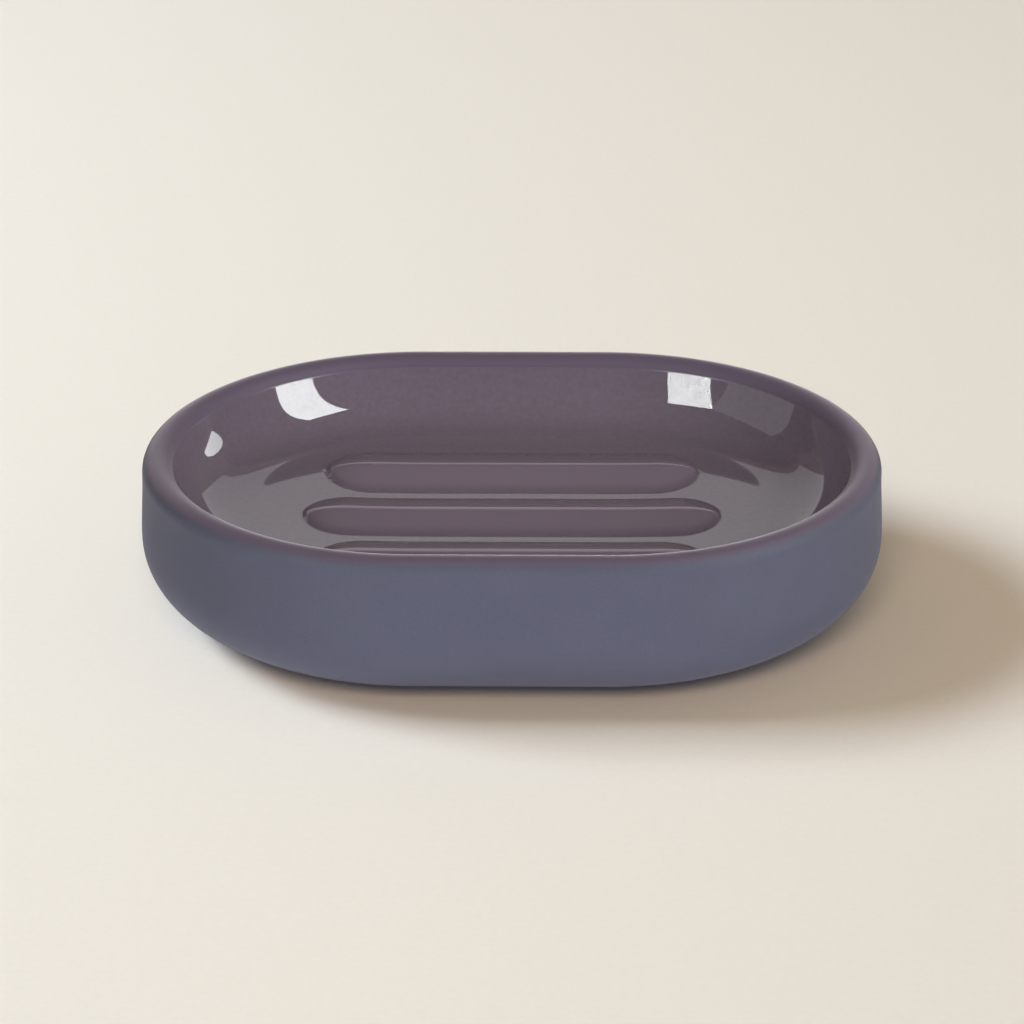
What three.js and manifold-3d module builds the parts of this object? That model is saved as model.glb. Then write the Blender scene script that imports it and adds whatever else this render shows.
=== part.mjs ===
// Oval soap dish of cast stoneware. A glossy glaze lines the hollow and runs over the rim's crest, and a
// soft-touch coat covers the outside. Three drainage ribs stand on the dished floor, and four non-slip pads
// carry the foot. Millimetres, +Z up, +X along the length, origin in the middle of the resting plane.
import * as THREE from 'three';
import { mergeVertices } from 'three/addons/utils/BufferGeometryUtils.js';
import Module from 'manifold-3d';

const wasm = await Module();
wasm.setup();

// Overall sizes of the finished dish
const length = 130;
const width = 97;
const height = 30;

// Rim and outside
const rimRadius = 2.7; // the rim is a full round
const coatEdge = 45; // degrees down the rim's outer round, where the glaze ends and the coat begins
const shoulderInset = 0.45; // the wall leans in this far from the belly up to the rim
const bellyHeight = 15.7; // height of the widest line
const bellyReach = 9.6; // how far the belly stays upright below its widest line
const baseInset = 19.6; // the base is drawn in this far all round
const baseReach = 8.8; // how far the base stays level beyond the foot

// Hollow
const dishDepth = 13.4; // from the rim to the middle of the floor
const floorRise = 1.2; // the floor is dished by this much up to its edge
const wallSpread = 15.4; // from the edge of the floor to the middle of the rim
const wallLean = 20; // degrees from upright, just under the rim
const wallFootReach = 9; // how far the wall runs on from the floor before it turns up
const wallHeadReach = 6.5; // how far the wall keeps its lean below the rim
const floorThickness = 7;

// Layers over the stoneware
const glazeThickness = 0.5;
const coatThickness = 0.4;
const bondGap = 0.05; // between a layer and what carries it

// Drainage ribs
const ribPitch = 18.7;
const ribWidth = 16.4;
const ribHeight = 2;
const ribCrest = 1.2; // half the width of the crest that rounds off a rib's flanks
const middleRibEndGap = 9.7; // from the rib's tip to the edge of the floor
const outerRibEndGap = 6.5;
const ribRoot = 0.3; // how deep a rib is sunk where it joins the floor

// Foot and pads
const padDiameter = 8;
const padThickness = 0.8;
const padChamfer = 0.2;
const padMargin = 1; // foot on each side of a pad
const padAngle = 45; // degrees round the rounded ends
const recessReach = 4; // how far the underside recess narrows towards its top

// Facets
const bodySteps = 20; // in each half circle of the dish
const ribSteps = 8; // across a rib, along it and round each of its ends
const padSteps = 10;
const arcSteps = 4; // in a quarter round
const curveSteps = 8;

const halfWidth = width / 2;
const halfStraight = (length - width) / 2;
const rimMiddle = halfWidth - shoulderInset - rimRadius;
const rimCentreHeight = height - rimRadius;
const floorHeight = height - dishDepth;
const floorRadius = rimMiddle - wallSpread;

// Foot and underside recess
const footRadius = halfWidth - baseInset;
const footWidth = padDiameter + 2 * padMargin;
const recessRadius = footRadius - footWidth;
const recessTop = floorHeight - glazeThickness - floorThickness;

// Samples curves that run on from one another, as points with the normal on their left.
function trace(...stretches) {
  const samples = [];
  for (const [curve, steps] of stretches) {
    for (let i = samples.length ? 1 : 0; i <= steps; i++) {
      const tangent = curve.getTangent(i / steps);
      samples.push({ point: curve.getPoint(i / steps), normal: new THREE.Vector2(-tangent.y, tangent.x) });
    }
  }
  return samples;
}

// A traced line moved by depth against its normals, into the material.
function sunk(samples, depth) {
  return samples.map(({ point, normal }) => point.clone().addScaledVector(normal, -depth));
}

// Skins rings of as many points each, from one ring to the next, and from the last to the first if closed.
// Seen from outside, the next ring lies to the right of a ring whose points run upwards.
function skin(rings, closed) {
  const count = rings[0].length;
  const bands = closed ? rings.length : rings.length - 1;
  const index = [];
  for (let i = 0; i < bands; i++) {
    const from = i * count;
    const to = ((i + 1) % rings.length) * count;
    for (let k = 0; k < count; k++) {
      const next = (k + 1) % count;
      index.push(from + k, to + k, to + next, from + k, to + next, from + next);
    }
  }
  const loose = new THREE.BufferGeometry();
  loose.setAttribute('position', new THREE.Float32BufferAttribute(rings.flat(2), 3));
  loose.setIndex(index);
  const geometry = mergeVertices(loose);
  const faces = [];
  for (let i = 0; i < geometry.index.count; i += 3) {
    const corners = [0, 1, 2].map((k) => geometry.index.getX(i + k));
    if (new Set(corners).size === 3) faces.push(...corners);
  }
  geometry.setIndex(faces);
  geometry.computeVertexNormals();
  return geometry;
}

// Carries a section round two half circles joined by straights. Its points are the distance from the middle
// line and the height, with the material on the right. It runs from the middle line back to it, or is closed.
function stadiumGeometry(section, straight, steps) {
  const turns = [];
  for (const side of [0, 1]) {
    for (let i = 0; i <= steps; i++) {
      turns.push({ angle: Math.PI * (side + i / steps - 1 / 2), shift: side ? -straight : straight });
    }
  }
  const rings = section.map((p) => turns.map(
    ({ angle, shift }) => [shift + p.x * Math.cos(angle), p.x * Math.sin(angle), p.y]));
  return skin(rings, section[0].x > 0);
}

function toSolid(geometry) {
  const vertProperties = geometry.attributes.position.array;
  const triVerts = Uint32Array.from(geometry.index.array);
  return new wasm.Manifold(new wasm.Mesh({ numProp: 3, vertProperties, triVerts }));
}

function toGeometry(solid) {
  const { vertProperties, triVerts } = solid.getMesh();
  const geometry = new THREE.BufferGeometry();
  geometry.setAttribute('position', new THREE.BufferAttribute(vertProperties, 3));
  geometry.setIndex(new THREE.BufferAttribute(triVerts, 1));
  geometry.computeVertexNormals();
  return geometry;
}

// Finished section: the glazed inside from the middle of the floor to the coat's edge on the rim
const lean = THREE.MathUtils.degToRad(wallLean);
const edgeAngle = Math.PI / 2 - THREE.MathUtils.degToRad(coatEdge);
const floorEdge = new THREE.Vector2(floorRadius, floorHeight + floorRise);
const floorCurve = new THREE.QuadraticBezierCurve(
  new THREE.Vector2(0, floorHeight),
  new THREE.Vector2(floorRadius / 2, floorHeight),
  floorEdge,
);
const wallTop = new THREE.Vector2(
  rimMiddle - rimRadius * Math.cos(lean), rimCentreHeight + rimRadius * Math.sin(lean));
const wallCurve = new THREE.CubicBezierCurve(
  floorEdge,
  floorEdge.clone().addScaledVector(floorCurve.getTangent(1), wallFootReach),
  wallTop.clone().addScaledVector(new THREE.Vector2(Math.sin(lean), Math.cos(lean)), -wallHeadReach),
  wallTop,
);

// A stretch of the rim's round, from one angle down to another.
function rimArc(from, to) {
  return new THREE.EllipseCurve(rimMiddle, rimCentreHeight, rimRadius, rimRadius, from, to, true);
}

const glazedLine = trace(
  [floorCurve, arcSteps],
  [wallCurve, curveSteps],
  [rimArc(Math.PI - lean, Math.PI / 2), arcSteps],
  [rimArc(Math.PI / 2, edgeAngle), arcSteps],
);

// Finished section: the coated outside from its edge on the rim to the edge of the foot
const shoulderTop = new THREE.Vector2(rimMiddle + rimRadius, rimCentreHeight);
const belly = new THREE.Vector2(halfWidth, bellyHeight);
const shoulderEase = (shoulderTop.y - bellyHeight) / 3;
const shoulder = new THREE.CubicBezierCurve(
  shoulderTop,
  new THREE.Vector2(shoulderTop.x, shoulderTop.y - shoulderEase),
  new THREE.Vector2(halfWidth, bellyHeight + shoulderEase),
  belly,
);
const baseCurve = new THREE.CubicBezierCurve(
  belly,
  new THREE.Vector2(halfWidth, bellyHeight - bellyReach),
  new THREE.Vector2(footRadius + baseReach, padThickness),
  new THREE.Vector2(footRadius, padThickness),
);
const coatedLine = trace(
  [rimArc(edgeAngle - bondGap / rimRadius, 0), arcSteps],
  [shoulder, arcSteps],
  [baseCurve, curveSteps],
);

// Underside of the stoneware: the foot that the pads stick to, round a recess that keeps the floor thin
const recessWall = new THREE.CubicBezierCurve(
  new THREE.Vector2(recessRadius, padThickness),
  new THREE.Vector2(recessRadius, (padThickness + recessTop) / 2),
  new THREE.Vector2(recessRadius - recessReach / 2, recessTop),
  new THREE.Vector2(recessRadius - recessReach, recessTop),
);
const underside = [
  new THREE.Vector2(footRadius - bondGap, padThickness + coatThickness + bondGap),
  new THREE.Vector2(footRadius - bondGap, padThickness),
  ...recessWall.getPoints(arcSteps),
  new THREE.Vector2(0, recessTop),
];

// One rib with its surface sunk by depth below the finished one, laid on the dished floor. Two flanks meet in
// a rounded crest and shrink to a point at each end. It is as long as the floor there, less both end gaps.
function ribGeometry(across, endGap, depth) {
  const ribHalf = ribWidth / 2;
  const foot = Math.hypot(ribHalf, ribCrest);
  const straight = halfStraight + Math.sqrt(floorRadius ** 2 - across ** 2) - endGap - ribHalf;
  const stations = [];
  for (let i = -2 * ribSteps; i <= 2 * ribSteps; i++) {
    const turn = (Math.PI / 2) * Math.max(Math.abs(i) / ribSteps - 1, 0);
    const along = straight * Math.min(Math.abs(i) / ribSteps, 1) + (ribHalf - depth) * Math.sin(turn);
    stations.push({ x: Math.sign(i) * along, size: Math.cos(turn) });
  }
  const rings = stations.map(({ x, size }) => {
    const laid = (side, rise) => {
      const y = across + ribHalf * size * side;
      const fromMiddleLine = Math.hypot(Math.max(Math.abs(x) - halfStraight, 0), y);
      return [x, y, floorHeight + floorRise * (fromMiddleLine / floorRadius) ** 2 + rise - depth];
    };
    const ring = [];
    for (let k = 0; k <= ribSteps; k++) {
      const side = (2 * k) / ribSteps - 1;
      const flank = (foot - Math.hypot(ribHalf * side, ribCrest)) / (foot - ribCrest);
      ring.push(laid(side, ribHeight * size * flank));
    }
    ring.push(laid(1, -ribRoot), laid(-1, -ribRoot));
    return ring;
  });
  return skin(rings, false);
}

// The three ribs at one depth.
function ribSolids(depth) {
  return [
    ribGeometry(-ribPitch, outerRibEndGap, depth),
    ribGeometry(0, middleRibEndGap, depth),
    ribGeometry(ribPitch, outerRibEndGap, depth),
  ].map(toSolid);
}

// Stoneware body: sunk below the glaze and the coat by their thickness, with the ribs cast in one with it
const underGlaze = sunk(glazedLine, glazeThickness + bondGap);
const underCoat = sunk(coatedLine, coatThickness + bondGap);
const bodySection = [...underGlaze, ...underCoat, ...underside];
let bodySolid = toSolid(stadiumGeometry(bodySection, halfStraight, bodySteps));
for (const rib of ribSolids(glazeThickness + bondGap)) bodySolid = bodySolid.add(rib);

// Inside glaze: an even skin over the floor, the ribs, the wall and the rim
const glazeSection = [...sunk(glazedLine, 0), ...sunk(glazedLine, glazeThickness).reverse()];
let glazeSolid = toSolid(stadiumGeometry(glazeSection, halfStraight, bodySteps));
for (const rib of ribSolids(0)) glazeSolid = glazeSolid.add(rib);
for (const hollow of ribSolids(glazeThickness)) glazeSolid = glazeSolid.subtract(hollow);

// Outside coat: a thin skin from its edge on the rim's outer round to the edge of the foot
const coatSection = [...sunk(coatedLine, 0), ...sunk(coatedLine, coatThickness).reverse()];
const coatGeometry = stadiumGeometry(coatSection, halfStraight, bodySteps);

// Foot pad: a flat disc with a small chamfer where it meets the table
const padRadius = padDiameter / 2;
const padSection = [
  new THREE.Vector2(0, padThickness - bondGap),
  new THREE.Vector2(padRadius, padThickness - bondGap),
  new THREE.Vector2(padRadius, padChamfer),
  new THREE.Vector2(padRadius - padChamfer, 0),
  new THREE.Vector2(0, 0),
];

const stoneware = new THREE.MeshStandardMaterial({ color: 0xd9d2c6, roughness: 0.85, metalness: 0 });
const plumGlaze = new THREE.MeshStandardMaterial({ color: 0x66596a, roughness: 0.08, metalness: 0 });
const softTouch = new THREE.MeshStandardMaterial({ color: 0x5f6076, roughness: 0.75, metalness: 0 });
const clearRubber = new THREE.MeshStandardMaterial({ color: 0xc9c7c0, roughness: 0.5, metalness: 0 });

const dish = new THREE.Group();

function place(name, geometry, material) {
  const mesh = new THREE.Mesh(geometry, material);
  mesh.name = name;
  dish.add(mesh);
  return mesh;
}

place('stoneware_body', toGeometry(bodySolid), stoneware);
place('inside_glaze', toGeometry(glazeSolid), plumGlaze);
place('outside_soft_touch_coat', coatGeometry, softTouch);

// One pad near each end of both long sides, midway across the foot
const padTurn = THREE.MathUtils.degToRad(padAngle);
const padPath = footRadius - footWidth / 2;
for (const [end, xSign] of [['left', -1], ['right', 1]]) {
  for (const [side, ySign] of [['front', -1], ['back', 1]]) {
    const pad = place(`foot_pad_${side}_${end}`, stadiumGeometry(padSection, 0, padSteps), clearRubber);
    pad.position.set(
      xSign * (halfStraight + padPath * Math.cos(padTurn)), ySign * padPath * Math.sin(padTurn), 0);
  }
}

export default dish;
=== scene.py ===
"""Looks of an oval soap dish: cast stoneware, with a glossy plum glaze inside and a soft-touch coat outside.

Metres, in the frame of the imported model: +X along the length, +Z up, the dish stands on z = 0.
Sections are worked out in millimetres as (distance from the middle line, height), and a mesh is scaled
to metres when it is made.
"""

import math

import bpy
import numpy as np
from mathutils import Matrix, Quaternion, Vector


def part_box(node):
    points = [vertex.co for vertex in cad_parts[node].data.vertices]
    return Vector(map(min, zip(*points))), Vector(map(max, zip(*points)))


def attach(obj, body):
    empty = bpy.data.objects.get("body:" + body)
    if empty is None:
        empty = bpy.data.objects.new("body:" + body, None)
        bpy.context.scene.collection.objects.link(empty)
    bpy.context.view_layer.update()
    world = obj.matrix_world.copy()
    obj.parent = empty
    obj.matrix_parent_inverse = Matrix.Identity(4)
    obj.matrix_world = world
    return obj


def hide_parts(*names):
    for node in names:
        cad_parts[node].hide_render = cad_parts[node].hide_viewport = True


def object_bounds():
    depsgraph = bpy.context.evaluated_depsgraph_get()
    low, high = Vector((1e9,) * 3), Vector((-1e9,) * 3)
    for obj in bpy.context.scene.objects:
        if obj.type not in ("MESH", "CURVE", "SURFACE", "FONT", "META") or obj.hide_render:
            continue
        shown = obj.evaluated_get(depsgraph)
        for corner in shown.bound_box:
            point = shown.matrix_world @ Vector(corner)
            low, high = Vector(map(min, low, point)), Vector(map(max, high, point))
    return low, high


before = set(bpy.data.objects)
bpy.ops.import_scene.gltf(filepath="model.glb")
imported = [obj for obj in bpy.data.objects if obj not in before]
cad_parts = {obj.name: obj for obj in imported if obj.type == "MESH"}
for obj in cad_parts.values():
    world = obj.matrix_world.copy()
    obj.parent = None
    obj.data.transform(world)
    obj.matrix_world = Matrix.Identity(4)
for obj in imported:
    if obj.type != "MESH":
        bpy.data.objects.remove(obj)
cad_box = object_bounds()

MM = 0.001

# Overall sizes in mm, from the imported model
LENGTH, WIDTH, HEIGHT = ((high - low) / MM for low, high in zip(*cad_box))

# Rim and outside, in mm
RIM_RADIUS = 2.7  # the rim is a full round
COAT_EDGE = 45.0  # degrees down the rim's outer round, where the glaze ends and the coat begins
SHOULDER_INSET = 0.45  # the wall leans in this far from the belly up to the rim
BELLY_HEIGHT = 15.7  # height of the widest line
BELLY_REACH = 9.6  # how far the belly stays upright below its widest line
BASE_INSET = 19.6  # the base is drawn in this far all round
BASE_REACH = 8.8  # how far the base stays level beyond the foot

# Hollow, in mm
DISH_DEPTH = 13.4  # from the rim to the middle of the floor
FLOOR_RISE = 1.2  # the floor is dished by this much up to its edge
WALL_SPREAD = 15.4  # from the edge of the floor to the middle of the rim
WALL_LEAN = 20.0  # degrees from upright, just under the rim
WALL_FOOT_REACH = 9.0  # how far the wall runs on from the floor before it turns up
WALL_HEAD_REACH = 6.5  # how far the wall keeps its lean below the rim
FLOOR_THICKNESS = 7.0

# Layers, in mm
GLAZE_THICKNESS = 0.5
COAT_THICKNESS = 0.4
BOND_GAP = 0.05  # between a layer and what carries it

# Drainage ribs, in mm
RIB_PITCH = 18.7
RIB_WIDTH = 16.4
RIB_HEIGHT = 2.0
RIB_CREST = 1.2  # half the width of the crest that rounds off a rib's flanks
MIDDLE_RIB_END_GAP = 9.7  # from the rib's tip to the edge of the floor
OUTER_RIB_END_GAP = 6.5

# Foot and pads, in mm
PAD_DIAMETER = 8.0
PAD_THICKNESS = 0.8
PAD_ROUND = 0.25
PAD_MARGIN = 1.0  # foot on each side of a pad
RECESS_REACH = 4.0  # how far the underside recess narrows towards its top

# Mesh steps along the section's stretches, from the middle of the floor over the rim to the foot
FLOOR_STEPS = 84
WALL_STEPS = 48
RIM_INSIDE_STEPS = 16
RIM_OUTSIDE_STEPS = 10
RIM_COATED_STEPS = 14
SHOULDER_STEPS = 24
BASE_STEPS = 48
RECESS_STEPS = 24
PAD_ROUND_STEPS = 8

# Mesh steps round the oval: in each half circle and in each straight
GLAZE_RING = (120, 52)
COAT_RING = (120, 24)
CASTING_RING = (96, 40)
PAD_RING = (32, 1)

# Hidden sides are coarser: they take one in so many of the section's points
GLAZE_BACK_STEP = 4
COAT_BACK_STEP = 2
CASTING_STEP = 2

# Where the finishes change on the rim, in mm along the section, outwards from the rim's crest
GLOSS_END = -3.7
HAZE_FULL = -3.3
DRIFT_START = 1.2
DRIFT_FULL = 3.0

# Camera: fitted to the photograph's outline of the dish
IMAGE_SIZE = 1024
SENSOR = 36.0  # mm
PIXELS_PER_MM = 5.68  # at the target
CAMERA_TARGET = Vector((0.03, 0.0, 17.8)) * MM
CAMERA_DISTANCE = 680 * MM
CAMERA_ELEVATION = math.radians(23.95)
CAMERA_YAW = math.radians(-0.46)

# Derived from the sizes above
HALF_WIDTH = WIDTH / 2
HALF_STRAIGHT = (LENGTH - WIDTH) / 2
RIM_MIDDLE = HALF_WIDTH - SHOULDER_INSET - RIM_RADIUS
RIM_CENTRE_HEIGHT = HEIGHT - RIM_RADIUS
FLOOR_HEIGHT = HEIGHT - DISH_DEPTH
FLOOR_RADIUS = RIM_MIDDLE - WALL_SPREAD
FOOT_RADIUS = HALF_WIDTH - BASE_INSET
FOOT_WIDTH = PAD_DIAMETER + 2 * PAD_MARGIN


# Curves of a section

def bezier(controls, steps):
    """Points of a Bezier curve: the controls averaged by the binomial weights of t and 1 - t."""
    t = np.linspace(0, 1, steps + 1)[:, None]
    degree = len(controls) - 1
    weights = [math.comb(degree, k) * t ** k * (1 - t) ** (degree - k) for k in range(degree + 1)]
    return sum(weight * np.array(control) for weight, control in zip(weights, controls))


def arc(centre, radius, start, stop, steps):
    """Points of an arc: the centre plus the radius times cosine and sine of evenly spaced angles."""
    angle = np.linspace(start, stop, steps + 1)[:, None]
    return np.array(centre) + radius * np.hstack([np.cos(angle), np.sin(angle)])


def joined(*stretches):
    """One line from stretches that each begin where the last one ended."""
    return np.vstack([stretches[0]] + [stretch[1:] for stretch in stretches[1:]])


def sunk(line, depth):
    """The line moved into the material by a depth.

    Each point goes against its left normal, which is square to the mean of its two chords.
    """
    chord = np.diff(line, axis=0)
    chord /= np.linalg.norm(chord, axis=1, keepdims=True)
    tangent = np.vstack([chord[:1], chord[:-1] + chord[1:], chord[-1:]])
    tangent /= np.linalg.norm(tangent, axis=1, keepdims=True)
    return line - depth * np.column_stack([-tangent[:, 1], tangent[:, 0]])


def run_length(line):
    """Length along the line from its first point to each point."""
    return np.concatenate([[0], np.cumsum(np.linalg.norm(np.diff(line, axis=0), axis=1))])


# Surfaces

SHARP_ANGLE = math.radians(40)  # edges that turn more than this are not smoothed over
WELD_DECIMALS = 5  # of a mm, to which points that coincide are compared

# The dish and the paper are kept in two collections, so that each has its own lamps
dish_pieces = bpy.data.collections.new("dish_pieces")
paper_sheets = bpy.data.collections.new("paper_sheets")
for collection in (dish_pieces, paper_sheets):
    bpy.context.scene.collection.children.link(collection)


def oval_ring(straight, arc_steps, straight_steps):
    """Turn and shift of each point round an oval: half circle, straight, half circle, straight."""
    half_turn = np.linspace(-np.pi / 2, np.pi / 2, arc_steps + 1)
    across = np.linspace(straight, -straight, straight_steps + 1)[1:-1]
    turn = np.concatenate([half_turn, np.full(across.size, np.pi / 2),
                           half_turn + np.pi, np.full(across.size, -np.pi / 2)])
    shift = np.concatenate([np.full(half_turn.size, straight), across,
                            np.full(half_turn.size, -straight), -across])
    return turn, shift


def oval_sweep(section, ring):
    """A section carried round the oval: x is shift plus r cos(turn), y is r sin(turn), z is the height."""
    turn, shift = ring
    r, z = section[:, :1], section[:, 1:]
    return np.stack([shift + r * np.cos(turn), r * np.sin(turn), z + 0 * turn], axis=-1)


def make_piece(name, grid, closed, **values):
    """A smooth mesh object from a grid of points.

    Its columns close round, and its rows close too if closed is true.
    Points that coincide, as on the middle line, are welded, and the faces that this flattens are dropped.
    Each of the values has one number for each grid point and becomes an attribute of that name.
    """
    rows, columns = grid.shape[:2]
    index = np.arange(rows * columns).reshape(rows, columns)
    upper = index if closed else index[:-1]
    lower = np.roll(index, -1, axis=0) if closed else index[1:]
    right = lambda corner: np.roll(corner, -1, axis=1)
    halves = [np.stack([upper, lower, right(lower)], -1),
              np.stack([upper, right(lower), right(upper)], -1)]
    triangles = np.concatenate([half.reshape(-1, 3) for half in halves])
    keys = np.round(grid.reshape(-1, 3), WELD_DECIMALS)
    kept, first, welded = np.unique(keys, axis=0, return_index=True, return_inverse=True)
    triangles = welded.reshape(-1)[triangles]
    a, b, c = triangles.T
    triangles = triangles[(a != b) & (b != c) & (c != a)]
    mesh = bpy.data.meshes.new(name)
    mesh.from_pydata(kept * MM, [], triangles)
    mesh.polygons.foreach_set("use_smooth", np.ones(len(mesh.polygons), bool))
    mesh.set_sharp_from_angle(angle=SHARP_ANGLE)
    for key, numbers in values.items():
        attribute = mesh.attributes.new(key, "FLOAT", "POINT")
        attribute.data.foreach_set("value", numbers.reshape(-1)[first].astype(np.float32))
    mesh.update()
    piece = bpy.data.objects.new(name, mesh)
    dish_pieces.objects.link(piece)
    return piece


def rib_rise(x, y):
    """Height of the three ribs over the floor at x, y in mm.

    Along a rib the size is 1, and over its last half width it falls as a quarter circle to 0 at the tip.
    Across it the height falls along a hyperbola, round at the crest and straight down the flank, to 0 at
    the foot. Both the rib's height and its half width are multiplied by the size.
    """
    half = RIB_WIDTH / 2
    foot = math.hypot(half, RIB_CREST)
    rise = np.zeros_like(x)
    ribs = ((-RIB_PITCH, OUTER_RIB_END_GAP), (0, MIDDLE_RIB_END_GAP), (RIB_PITCH, OUTER_RIB_END_GAP))
    for across, end_gap in ribs:
        straight = HALF_STRAIGHT + math.sqrt(FLOOR_RADIUS ** 2 - across ** 2) - end_gap - half
        past = np.clip((np.abs(x) - straight) / half, 0, 1)
        size = np.sqrt(1 - past ** 2)
        side = np.clip(np.abs(y - across) / (half * np.maximum(size, 1e-6)), 0, 1)
        rise += RIB_HEIGHT * size * (foot - np.hypot(half * side, RIB_CREST)) / (foot - RIB_CREST)
    return rise


# Finished lines of the dish's section
lean = math.radians(WALL_LEAN)
edge_angle = math.pi / 2 - math.radians(COAT_EDGE)
rim_centre = (RIM_MIDDLE, RIM_CENTRE_HEIGHT)
floor_edge = np.array([FLOOR_RADIUS, FLOOR_HEIGHT + FLOOR_RISE])
floor_slope = np.array([FLOOR_RADIUS, 2 * FLOOR_RISE]) / math.hypot(FLOOR_RADIUS, 2 * FLOOR_RISE)
wall_top = np.array(rim_centre) + RIM_RADIUS * np.array([-math.cos(lean), math.sin(lean)])
wall_slope = np.array([math.sin(lean), math.cos(lean)])

floor_line = bezier([(0, FLOOR_HEIGHT), (FLOOR_RADIUS / 2, FLOOR_HEIGHT), floor_edge], FLOOR_STEPS)
wall_line = bezier([floor_edge, floor_edge + WALL_FOOT_REACH * floor_slope,
                    wall_top - WALL_HEAD_REACH * wall_slope, wall_top], WALL_STEPS)
rim_inside = arc(rim_centre, RIM_RADIUS, math.pi - lean, math.pi / 2, RIM_INSIDE_STEPS)
rim_outside = arc(rim_centre, RIM_RADIUS, math.pi / 2, edge_angle, RIM_OUTSIDE_STEPS)
glazed_line = joined(floor_line, wall_line, rim_inside, rim_outside)
crest_row = len(floor_line) + len(wall_line) + len(rim_inside) - 3

belly = (HALF_WIDTH, BELLY_HEIGHT)
shoulder_top = (RIM_MIDDLE + RIM_RADIUS, RIM_CENTRE_HEIGHT)
shoulder_ease = (RIM_CENTRE_HEIGHT - BELLY_HEIGHT) / 3
rim_coated = arc(rim_centre, RIM_RADIUS, edge_angle, 0, RIM_COATED_STEPS)
shoulder_line = bezier([shoulder_top, (shoulder_top[0], shoulder_top[1] - shoulder_ease),
                        (HALF_WIDTH, BELLY_HEIGHT + shoulder_ease), belly], SHOULDER_STEPS)
base_line = bezier([belly, (HALF_WIDTH, BELLY_HEIGHT - BELLY_REACH),
                    (FOOT_RADIUS + BASE_REACH, PAD_THICKNESS), (FOOT_RADIUS, PAD_THICKNESS)], BASE_STEPS)
coated_line = joined(rim_coated, shoulder_line, base_line)


# Pieces

def inside_glaze():
    """The glaze's skin: the finished inside with the ribs, and back along it sunk by its thickness."""
    under = sunk(glazed_line, GLAZE_THICKNESS)[::-GLAZE_BACK_STEP]
    section = np.vstack([glazed_line, under])
    section[section[:, 0] < BOND_GAP, 0] = 0
    grid = oval_sweep(section, oval_ring(HALF_STRAIGHT, *GLAZE_RING))
    rise = rib_rise(grid[..., 0], grid[..., 1])
    grid[..., 2] += rise
    along = run_length(glazed_line)
    along -= along[crest_row]
    along = np.concatenate([along, along[::-GLAZE_BACK_STEP]])[:, None] + 0 * rise
    return make_piece("inside_glaze_skin", grid, False, from_crest_mm=along, rib_rise_mm=rise)


def outside_coat():
    """The coat's skin: the finished outside from rim to foot, and back along it sunk by its thickness."""
    section = np.vstack([coated_line, sunk(coated_line, COAT_THICKNESS)[::-COAT_BACK_STEP]])
    grid = oval_sweep(section, oval_ring(HALF_STRAIGHT, *COAT_RING))
    along = run_length(coated_line) + RIM_RADIUS * (math.pi / 2 - edge_angle)
    along = np.concatenate([along, along[::-COAT_BACK_STEP]])[:, None] + 0 * grid[..., 0]
    return make_piece("outside_coat_skin", grid, True, from_crest_mm=along)


def stoneware_body():
    """The casting: sunk below both layers, with a foot round a recess that narrows upwards in a curve."""
    recess_radius = FOOT_RADIUS - FOOT_WIDTH
    recess_top = FLOOR_HEIGHT - GLAZE_THICKNESS - FLOOR_THICKNESS
    recess = bezier([(recess_radius, PAD_THICKNESS), (recess_radius, (PAD_THICKNESS + recess_top) / 2),
                     (recess_radius - RECESS_REACH / 2, recess_top),
                     (recess_radius - RECESS_REACH, recess_top)], RECESS_STEPS)
    foot_outer = FOOT_RADIUS - BOND_GAP
    foot = np.array([(foot_outer, PAD_THICKNESS + COAT_THICKNESS + BOND_GAP),
                     (foot_outer, PAD_THICKNESS)])
    top = sunk(glazed_line, GLAZE_THICKNESS + BOND_GAP)[::CASTING_STEP]
    top[0, 0] = 0
    side = sunk(coated_line, COAT_THICKNESS + BOND_GAP)[:-1:CASTING_STEP]
    section = np.vstack([top, side, foot, recess, [(0, recess_top)]])
    grid = oval_sweep(section, oval_ring(HALF_STRAIGHT, *CASTING_RING))
    grid[:len(top), :, 2] += rib_rise(grid[:len(top), :, 0], grid[:len(top), :, 1])
    return make_piece("stoneware_casting", grid, False)


def foot_pad(name):
    """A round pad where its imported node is: a flat disc whose lower edge is a quarter round."""
    low, high = (np.array(corner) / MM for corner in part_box(name))
    middle = (low + high) / 2
    radius = (high[0] - low[0]) / 2
    edge_middle = (radius - PAD_ROUND, low[2] + PAD_ROUND)
    edge = arc(edge_middle, PAD_ROUND, 0, -np.pi / 2, PAD_ROUND_STEPS)
    section = np.vstack([[(0, high[2]), (radius, high[2])], edge, [(0, low[2])]])
    grid = oval_sweep(section, oval_ring(0, *PAD_RING))
    grid[..., :2] += middle[:2]
    return make_piece(name + "_disc", grid, False)


# Materials

MIX_A, MIX_B, MIX_RESULT = 6, 7, 2  # sockets of a colour mix


def linear(hex_colour):
    """Linear RGBA of an sRGB hex colour."""
    channels = [int(hex_colour[i:i + 2], 16) / 255 for i in (1, 3, 5)]
    return [c / 12.92 if c <= 0.04045 else ((c + 0.055) / 1.055) ** 2.4 for c in channels] + [1.0]


def per_mm(size):
    """Texture scale at which a feature in Object coordinates is that many mm wide."""
    return 1 / (size * MM)


def add(tree, kind, inputs, **settings):
    """Adds a node with its settings; each input is linked to a socket or given a plain value."""
    node = tree.nodes.new(kind)
    for key, value in settings.items():
        setattr(node, key, value)
    for key, value in inputs.items():
        if isinstance(value, bpy.types.NodeSocket):
            tree.links.new(value, node.inputs[key])
        else:
            node.inputs[key].default_value = value
    return node


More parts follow.
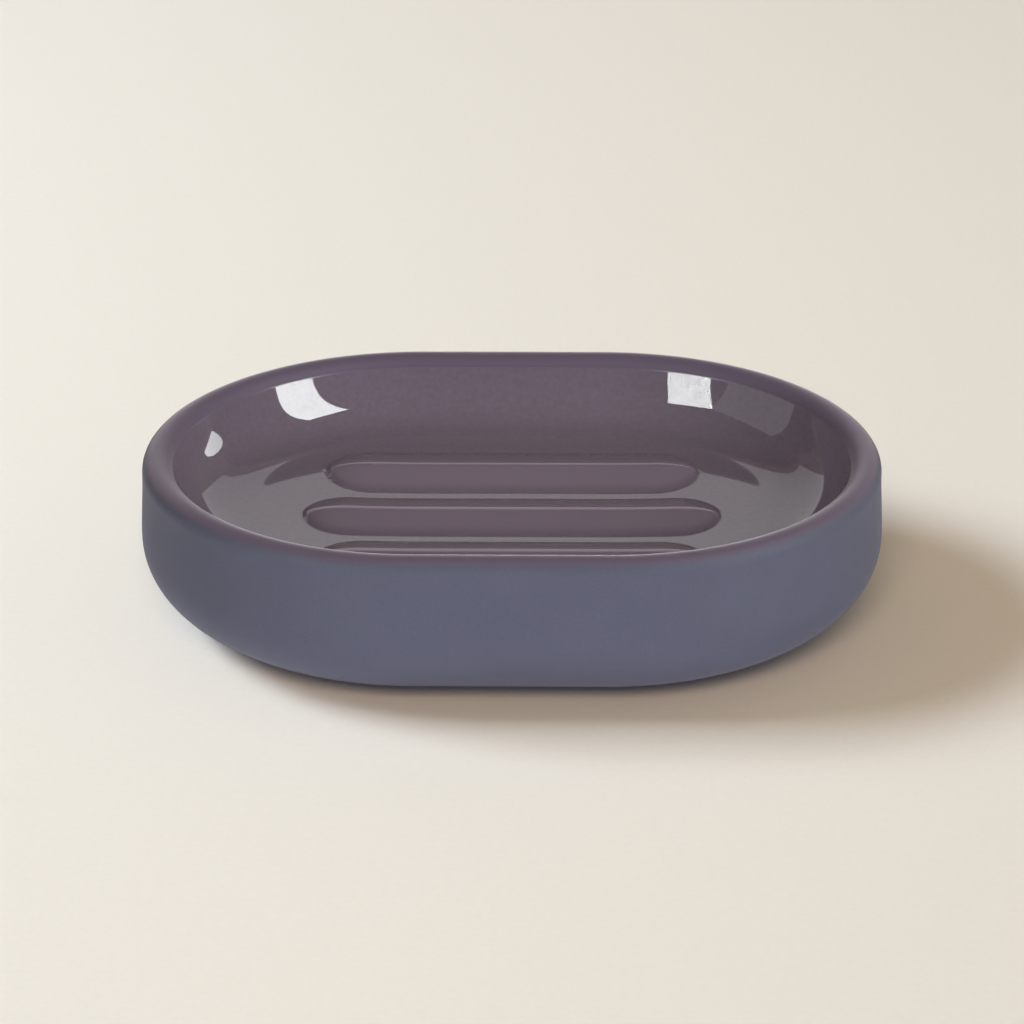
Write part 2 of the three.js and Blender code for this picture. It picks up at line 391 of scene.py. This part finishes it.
def new_material(name):
    """A node material with its surface shader and the place on the piece that its patterns read."""
    material = bpy.data.materials.new(name)
    material.use_nodes = True
    tree = material.node_tree
    tree.nodes.clear()
    surface = add(tree, "ShaderNodeBsdfPrincipled", {})
    add(tree, "ShaderNodeOutputMaterial", {"Surface": surface.outputs[0]})
    place = add(tree, "ShaderNodeTexCoord", {}).outputs["Object"]
    return material, tree, surface, place


# Finishes of the rim, where the sprayed coat drifts over the glaze
MATT, DULL, FLUFF = 0.65, 0.25, 0.38  # roughness, reflection and sheen roughness of the soft-touch coat
RIM_SHEEN, COAT_SHEEN = 1.0, 0.08
PLUM_DARK = "#6f6672"
PLUM_LIGHT = "#766c7b"
PLUM_THIN = "#807484"
RIM_HAZE = "#605368"
VELVET = "#f6f0ff"
DUSK_DARK = "#484a5c"
DUSK_LIGHT = "#505265"


def spray_on_rim(tree):
    """Three masks from the distance along the section to the rim's crest.

    The haze rises where the gloss ends inside the rim, the drift rises from the crest to the full coat
    outside, and the velvet is the sheen, which falls as the drift rises.
    """
    crest = add(tree, "ShaderNodeAttribute", {}, attribute_name="from_crest_mm").outputs["Fac"]
    haze = add(tree, "ShaderNodeMapRange",
               {"Value": crest, "From Min": GLOSS_END, "From Max": HAZE_FULL},
               interpolation_type="SMOOTHSTEP").outputs[0]
    drift = add(tree, "ShaderNodeMapRange",
                {"Value": crest, "From Min": DRIFT_START, "From Max": DRIFT_FULL},
                interpolation_type="SMOOTHSTEP").outputs[0]
    velvet = add(tree, "ShaderNodeMapRange", {"Value": drift, "To Min": RIM_SHEEN, "To Max": COAT_SHEEN})
    return haze, drift, velvet.outputs[0]


def fired_plum_glaze():
    """Fired glaze on stoneware: a glassy aubergine film, finely mottled, paler where thin on the ribs.

    The sprayed coat drifts over the rim as a thin matt haze, so the gloss ends there without an edge.
    """
    material, tree, surface, place = new_material("fired_plum_glaze")
    haze, drift, velvet = spray_on_rim(tree)
    mottle = add(tree, "ShaderNodeTexNoise",
                 {"Vector": place, "Scale": per_mm(0.9), "Detail": 3.0, "Roughness": 0.6}).outputs[0]
    spread = add(tree, "ShaderNodeMapRange", {"Value": mottle, "From Min": 0.3, "From Max": 0.7}).outputs[0]
    film = add(tree, "ShaderNodeMix", {0: spread, MIX_A: linear(PLUM_DARK), MIX_B: linear(PLUM_LIGHT)},
               data_type="RGBA").outputs[MIX_RESULT]
    rise = add(tree, "ShaderNodeAttribute", {}, attribute_name="rib_rise_mm").outputs["Fac"]
    thin = add(tree, "ShaderNodeMapRange",
               {"Value": rise, "From Min": 0.1 * RIB_HEIGHT, "From Max": 0.4 * RIB_HEIGHT}).outputs[0]
    broken = add(tree, "ShaderNodeMix", {0: thin, MIX_A: film, MIX_B: linear(PLUM_THIN)},
                 data_type="RGBA").outputs[MIX_RESULT]
    hazed = add(tree, "ShaderNodeMix", {0: haze, MIX_A: broken, MIX_B: linear(RIM_HAZE)},
                data_type="RGBA").outputs[MIX_RESULT]
    coated = add(tree, "ShaderNodeMix", {0: drift, MIX_A: hazed, MIX_B: linear(DUSK_LIGHT)},
                 data_type="RGBA").outputs[MIX_RESULT]
    gloss = add(tree, "ShaderNodeMapRange", {"Value": haze, "To Min": 0.03, "To Max": MATT}).outputs[0]
    wave = add(tree, "ShaderNodeTexNoise", {"Vector": place, "Scale": per_mm(7), "Detail": 1.0}).outputs[0]
    relief = add(tree, "ShaderNodeBump",
                 {"Height": wave, "Strength": 0.04, "Distance": 0.05 * MM}).outputs[0]
    shine = add(tree, "ShaderNodeMapRange", {"Value": haze, "To Min": 0.5, "To Max": DULL}).outputs[0]
    fluff = add(tree, "ShaderNodeMath", {0: haze, 1: velvet}, operation="MULTIPLY").outputs[0]
    for socket, value in {"Base Color": coated, "Roughness": gloss, "Specular IOR Level": shine,
                          "Sheen Weight": fluff, "Normal": relief}.items():
        tree.links.new(value, surface.inputs[socket])
    surface.inputs["IOR"].default_value = 1.5
    surface.inputs["Sheen Roughness"].default_value = FLUFF
    surface.inputs["Sheen Tint"].default_value = linear(VELVET)
    return material


def sprayed_soft_touch_coat():
    """Soft-touch lacquer, sprayed: a velvety matt film with a fine dusty grain and a sheen on the rim.

    The real spray's grain is finer; it is drawn as coarse as it needs to show.
    """
    material, tree, surface, place = new_material("sprayed_soft_touch_coat")
    drift, velvet = spray_on_rim(tree)[1:]
    grain = add(tree, "ShaderNodeTexNoise",
                {"Vector": place, "Scale": per_mm(0.45), "Detail": 2.0, "Roughness": 0.7}).outputs[0]
    cloud = add(tree, "ShaderNodeTexNoise", {"Vector": place, "Scale": per_mm(9), "Detail": 2.0}).outputs[0]
    dust = add(tree, "ShaderNodeMath", {0: cloud, 1: 0.4, 2: grain}, operation="MULTIPLY_ADD").outputs[0]
    spread = add(tree, "ShaderNodeMapRange", {"Value": dust, "From Min": 0.3, "From Max": 1.1}).outputs[0]
    film = add(tree, "ShaderNodeMix", {0: spread, MIX_A: linear(DUSK_DARK), MIX_B: linear(DUSK_LIGHT)},
               data_type="RGBA").outputs[MIX_RESULT]
    coated = add(tree, "ShaderNodeMix", {0: drift, MIX_A: linear(RIM_HAZE), MIX_B: film},
                 data_type="RGBA").outputs[MIX_RESULT]
    relief = add(tree, "ShaderNodeBump",
                 {"Height": grain, "Strength": 0.25, "Distance": 0.05 * MM}).outputs[0]
    for socket, value in {"Base Color": coated, "Sheen Weight": velvet, "Normal": relief}.items():
        tree.links.new(value, surface.inputs[socket])
    surface.inputs["Roughness"].default_value = MATT
    surface.inputs["Specular IOR Level"].default_value = DULL
    surface.inputs["Sheen Roughness"].default_value = FLUFF
    surface.inputs["Sheen Tint"].default_value = linear(VELVET)
    return material


def bisque_stoneware():
    """Unglazed fired stoneware: a dry pale buff clay with fine sandy grain and small iron specks."""
    material, tree, surface, place = new_material("bisque_stoneware")
    sand = add(tree, "ShaderNodeTexNoise",
               {"Vector": place, "Scale": per_mm(0.6), "Detail": 4.0, "Roughness": 0.65}).outputs[0]
    clay = add(tree, "ShaderNodeMix", {0: sand, MIX_A: linear("#c2b49d"), MIX_B: linear("#ded3c1")},
               data_type="RGBA").outputs[MIX_RESULT]
    speck = add(tree, "ShaderNodeTexVoronoi", {"Vector": place, "Scale": per_mm(2.4)}).outputs["Distance"]
    iron = add(tree, "ShaderNodeMapRange", {"Value": speck, "From Min": 0.06, "From Max": 0.12}).outputs[0]
    specked = add(tree, "ShaderNodeMix", {0: iron, MIX_A: linear("#8a6a4c"), MIX_B: clay},
                  data_type="RGBA").outputs[MIX_RESULT]
    relief = add(tree, "ShaderNodeBump",
                 {"Height": sand, "Strength": 0.4, "Distance": 0.12 * MM}).outputs[0]
    tree.links.new(specked, surface.inputs["Base Color"])
    tree.links.new(relief, surface.inputs["Normal"])
    surface.inputs["Roughness"].default_value = 0.85
    return material


def moulded_clear_rubber():
    """Silicone rubber, moulded: milky, a little see-through, with a satin skin that holds some dust."""
    material, tree, surface, place = new_material("moulded_clear_rubber")
    dust = add(tree, "ShaderNodeTexNoise",
               {"Vector": place, "Scale": per_mm(1.5), "Detail": 3.0}).outputs[0]
    tone = add(tree, "ShaderNodeMix", {0: dust, MIX_A: linear("#bdbab1"), MIX_B: linear("#d3d1ca")},
               data_type="RGBA").outputs[MIX_RESULT]
    satin = add(tree, "ShaderNodeMapRange", {"Value": dust, "To Min": 0.38, "To Max": 0.55}).outputs[0]
    tree.links.new(tone, surface.inputs["Base Color"])
    tree.links.new(satin, surface.inputs["Roughness"])
    surface.inputs["IOR"].default_value = 1.41
    surface.inputs["Subsurface Weight"].default_value = 0.3
    surface.inputs["Subsurface Radius"].default_value = (0.6, 0.55, 0.5)
    surface.inputs["Subsurface Scale"].default_value = MM
    return material


def studio_paper(name, hex_colour):
    """Seamless studio paper: matt, with a faint fibre."""
    material, tree, surface, place = new_material(name)
    fibre = add(tree, "ShaderNodeTexNoise",
                {"Vector": place, "Scale": per_mm(1.2), "Detail": 3.0}).outputs[0]
    shade = add(tree, "ShaderNodeMapRange", {"Value": fibre, "To Min": 0.975, "To Max": 1.025}).outputs[0]
    tone = add(tree, "ShaderNodeHueSaturation", {"Color": linear(hex_colour), "Value": shade}).outputs[0]
    tree.links.new(tone, surface.inputs["Base Color"])
    surface.inputs["Roughness"].default_value = 0.9
    surface.inputs["Specular IOR Level"].default_value = 0.1
    return material


# The dish

def dress(piece, node, material):
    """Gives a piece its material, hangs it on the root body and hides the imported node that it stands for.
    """
    piece.data.materials.append(material)
    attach(piece, "root")
    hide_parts(node)


dress(stoneware_body(), "stoneware_body", bisque_stoneware())
dress(inside_glaze(), "inside_glaze", fired_plum_glaze())
dress(outside_coat(), "outside_soft_touch_coat", sprayed_soft_touch_coat())
rubber = moulded_clear_rubber()
for pad_node in sorted(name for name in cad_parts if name.startswith("foot_pad_")):
    dress(foot_pad(pad_node), pad_node, rubber)


# Stage: a pale paper floor, and a backdrop that rises behind it

def paper_sheet(name, line, half_width, material):
    """A sheet that is as wide as two half widths along x and follows a line of (y, z) points, in metres."""
    across = np.array([-half_width, half_width])
    grid = np.stack([np.broadcast_to(across, (len(line), 2)), np.repeat(line[:, :1], 2, 1),
                     np.repeat(line[:, 1:], 2, 1)], axis=-1)
    index = np.arange(grid.shape[0] * 2).reshape(-1, 2)
    quads = np.stack([index[:-1, 0], index[:-1, 1], index[1:, 1], index[1:, 0]], axis=-1)
    mesh = bpy.data.meshes.new(name)
    mesh.from_pydata(grid.reshape(-1, 3), [], quads)
    mesh.polygons.foreach_set("use_smooth", np.ones(len(mesh.polygons), bool))
    sheet = bpy.data.objects.new(name, mesh)
    paper_sheets.objects.link(sheet)
    mesh.materials.append(material)


FLOOR_FRONT, FLOOR_BACK = -1.6, 0.9
PAPER_HALF_WIDTH = 2.0
SWEEP_RADIUS = 0.5
SWEEP_STEPS = 24
BACKDROP_TOP = 1.25
floor_sheet = np.array([(FLOOR_FRONT, 0.0), (FLOOR_BACK, 0.0)])
backdrop_sheet = np.vstack([
    arc((FLOOR_BACK, SWEEP_RADIUS), SWEEP_RADIUS, -np.pi / 2, 0, SWEEP_STEPS),
    [(FLOOR_BACK + SWEEP_RADIUS, BACKDROP_TOP)]])
paper_sheet("paper_floor", floor_sheet, PAPER_HALF_WIDTH, studio_paper("cream_paper", "#edeae5"))
paper_sheet("paper_backdrop", backdrop_sheet, PAPER_HALF_WIDTH, studio_paper("grey_paper", "#8a8988"))


# Light: the lamps named for the paper or the dish light only that, the windows and boards are only mirrored

DISH_MIDDLE = Vector((0, 0, 20 * MM))
FIRST_IMAGE_DEPTH = 2.5  # rays that met the glaze once are below this, and those that met it twice above


def soft_box(name, direction, distance, size, watts, colour, lit=None, roll=0, shape="RECTANGLE"):
    """A lamp that far from the dish in a direction, facing it and rolled by some degrees, in metres.

    It lights the matt surfaces of the lit collection and isn't mirrored, or with none to light it is only
    mirrored. The dish is what casts its shadow.
    """
    lamp = bpy.data.lights.new(name, "AREA")
    lamp.shape = shape
    lamp.size, lamp.size_y = size
    lamp.energy = watts
    lamp.color = linear(colour)[:3]
    box = bpy.data.objects.new(name, lamp)
    towards = Vector(direction).normalized()
    box.location = DISH_MIDDLE + towards * distance
    box.rotation_mode = "QUATERNION"
    about_its_axis = Quaternion((0, 0, 1), math.radians(roll))
    box.rotation_quaternion = towards.to_track_quat("Z", "Y") @ about_its_axis
    box.visible_camera = False
    box.visible_diffuse = lit is not None
    box.visible_glossy = lit is None
    box.light_linking.receiver_collection = lit
    box.light_linking.blocker_collection = dish_pieces
    bpy.context.scene.collection.objects.link(box)
    return lamp


def mirrored_once(lamp):
    """Keeps a lamp's image in one glossy wall from showing again in the walls that mirror that wall."""
    lamp.use_nodes = True
    tree = lamp.node_tree
    depth = add(tree, "ShaderNodeLightPath", {}).outputs["Ray Depth"]
    first = add(tree, "ShaderNodeMath", {0: depth, 1: FIRST_IMAGE_DEPTH}, operation="LESS_THAN").outputs[0]
    tree.links.new(first, tree.nodes["Emission"].inputs["Strength"])


# The key throws the long shadow to the right, and the front light the thin dark line under the dish
soft_box("paper_key", (-0.74, 0.07, 0.62), 1.5, (0.8, 0.5), 21.2, "#e9f6ff", paper_sheets)
soft_box("paper_front", (-0.05, -0.80, 0.60), 9.0, (3.9, 2.4), 348.0, "#ffe6c8", paper_sheets)

# The dish is brightest at its front and right, and its underside is lit from below
soft_box("dish_right", (1.0, -0.8, 0.55), 1.5, (0.7, 0.7), 14.2, "#ffffff", dish_pieces)
soft_box("dish_left", (-0.8, -0.8, 0.50), 1.5, (0.7, 0.7), 6.7, "#ffffff", dish_pieces)
soft_box("dish_below", (0.2, -1.0, -0.70), 1.0, (0.8, 0.4), 5.4, "#ffffff", dish_pieces)

# Windows give the glaze its three highlights, each in the wall across from it
WINDOW = "#fbfffd"
mirrored_once(soft_box("right_window", (0.755, -0.382, 0.533), 1.2, (0.43, 0.95), 21.5, WINDOW))
mirrored_once(soft_box("left_window", (-0.618, -0.643, 0.452), 1.2, (0.44, 0.59), 12.6, WINDOW, roll=17))
mirrored_once(soft_box("back_window", (0.815, 0.543, 0.195), 1.2, (0.33, 0.36), 1.9, WINDOW,
                       shape="ELLIPSE"))

# Boards give it the dim panel in the right wall and the grey shine on the floor between the ribs
mirrored_once(soft_box("left_board", (-0.919, -0.142, 0.368), 1.2, (0.86, 0.69), 1.5, "#ffffff"))
mirrored_once(soft_box("back_board", (-0.111, 0.908, 0.403), 1.25, (1.36, 0.566), 1.75, "#f6f8ff"))

# The room's own light, warm and weak, which the glaze doesn't mirror
world = bpy.data.worlds.new("studio")
bpy.context.scene.world = world
world.cycles_visibility.glossy = False
world.use_nodes = True
room = world.node_tree.nodes["Background"]
room.inputs["Color"].default_value = linear("#ffecd4")
room.inputs["Strength"].default_value = 0.25


# Camera

level = math.cos(CAMERA_ELEVATION)
forward = Vector((math.sin(CAMERA_YAW) * level, math.cos(CAMERA_YAW) * level, -math.sin(CAMERA_ELEVATION)))
camera_data = bpy.data.cameras.new("camera")
camera_data.sensor_width = SENSOR
camera_data.lens = PIXELS_PER_MM * CAMERA_DISTANCE / MM * SENSOR / IMAGE_SIZE
camera = bpy.data.objects.new("camera", camera_data)
camera.location = CAMERA_TARGET - forward * CAMERA_DISTANCE
camera.rotation_mode = "QUATERNION"
camera.rotation_quaternion = forward.to_track_quat("-Z", "Y")
bpy.context.scene.collection.objects.link(camera)
bpy.context.scene.camera = camera
bpy.context.scene.view_settings.view_transform = "Standard"
